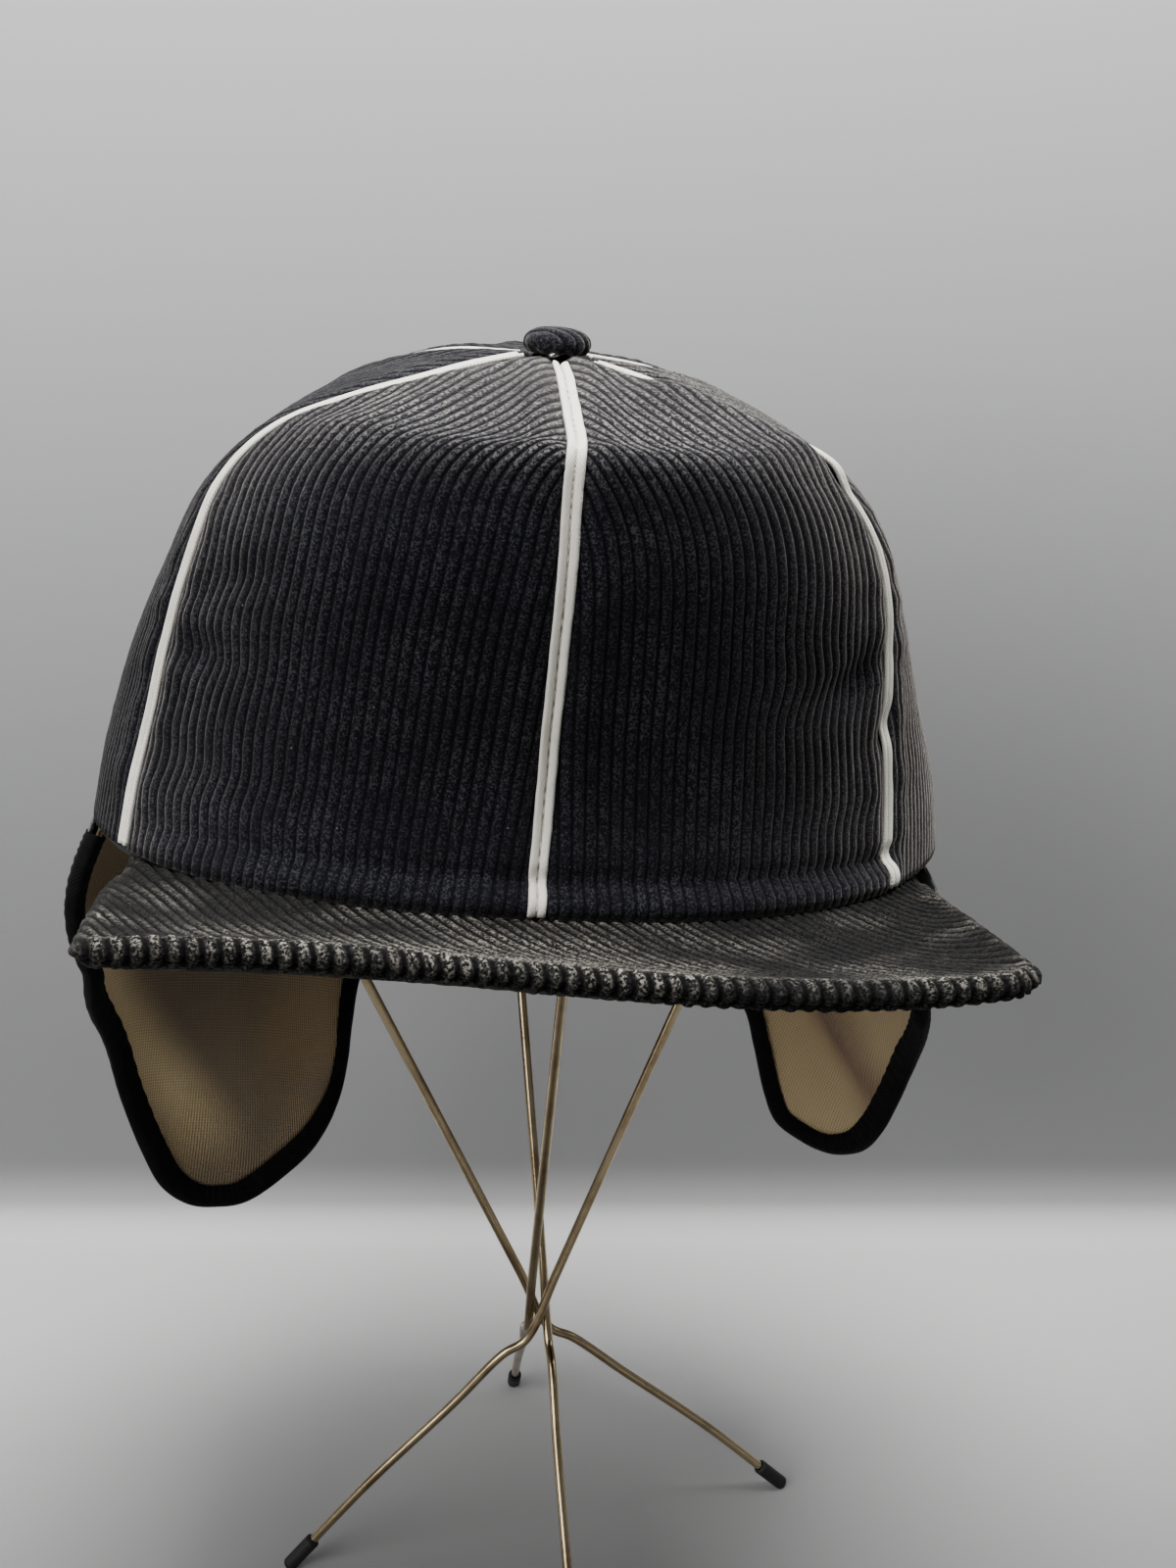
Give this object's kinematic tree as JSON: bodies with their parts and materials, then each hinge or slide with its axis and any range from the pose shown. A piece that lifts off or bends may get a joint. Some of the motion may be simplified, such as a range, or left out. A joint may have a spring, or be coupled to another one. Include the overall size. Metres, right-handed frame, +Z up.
{
  "type": "earflap cap on wire stand",
  "caption": "Corduroy cap with a peak, taped crown seams, a covered top button and folded-down lined earflaps, resting on a plain stand of crossed wires with rubber tips.",
  "frame": {"origin": "on the floor, under the middle of the whole thing's bounding box", "axes": "+Z up from the floor; the cap's peak points towards -Y; +X is to the right of a viewer who faces the peak"},
  "size_m": [0.2208, 0.235, 0.3287],
  "materials": {
    "corduroy": "black medium-wale cotton corduroy",
    "seam_tape": "off-white herringbone cotton tape, stitched",
    "satin_lining": "tan satin tricot with a soft sheen",
    "binding": "black bias binding",
    "brass_wire": "antique brass plating, worn",
    "rubber_tip": "matt black"
  },
  "bodies": {
    "root": {"crown_panel_front_right": "corduroy", "crown_panel_side_right": "corduroy", "crown_panel_back_right": "corduroy", "crown_panel_back_left": "corduroy", "crown_panel_side_left": "corduroy", "crown_panel_front_left": "corduroy", "seam_tape_front": "seam_tape", "seam_tape_right": "seam_tape", "seam_tape_rear_right": "seam_tape", "seam_tape_back": "seam_tape", "seam_tape_rear_left": "seam_tape", "seam_tape_left": "seam_tape", "top_button": "corduroy", "peak": "corduroy", "ear_band": "corduroy", "ear_band_lining": "satin_lining", "ear_band_binding": "binding", "stand_wire_side": "brass_wire", "stand_wire_fore": "brass_wire", "rubber_tip_right": "rubber_tip", "rubber_tip_back": "rubber_tip", "rubber_tip_left": "rubber_tip", "rubber_tip_front": "rubber_tip"}
  },
  "joints": []
}
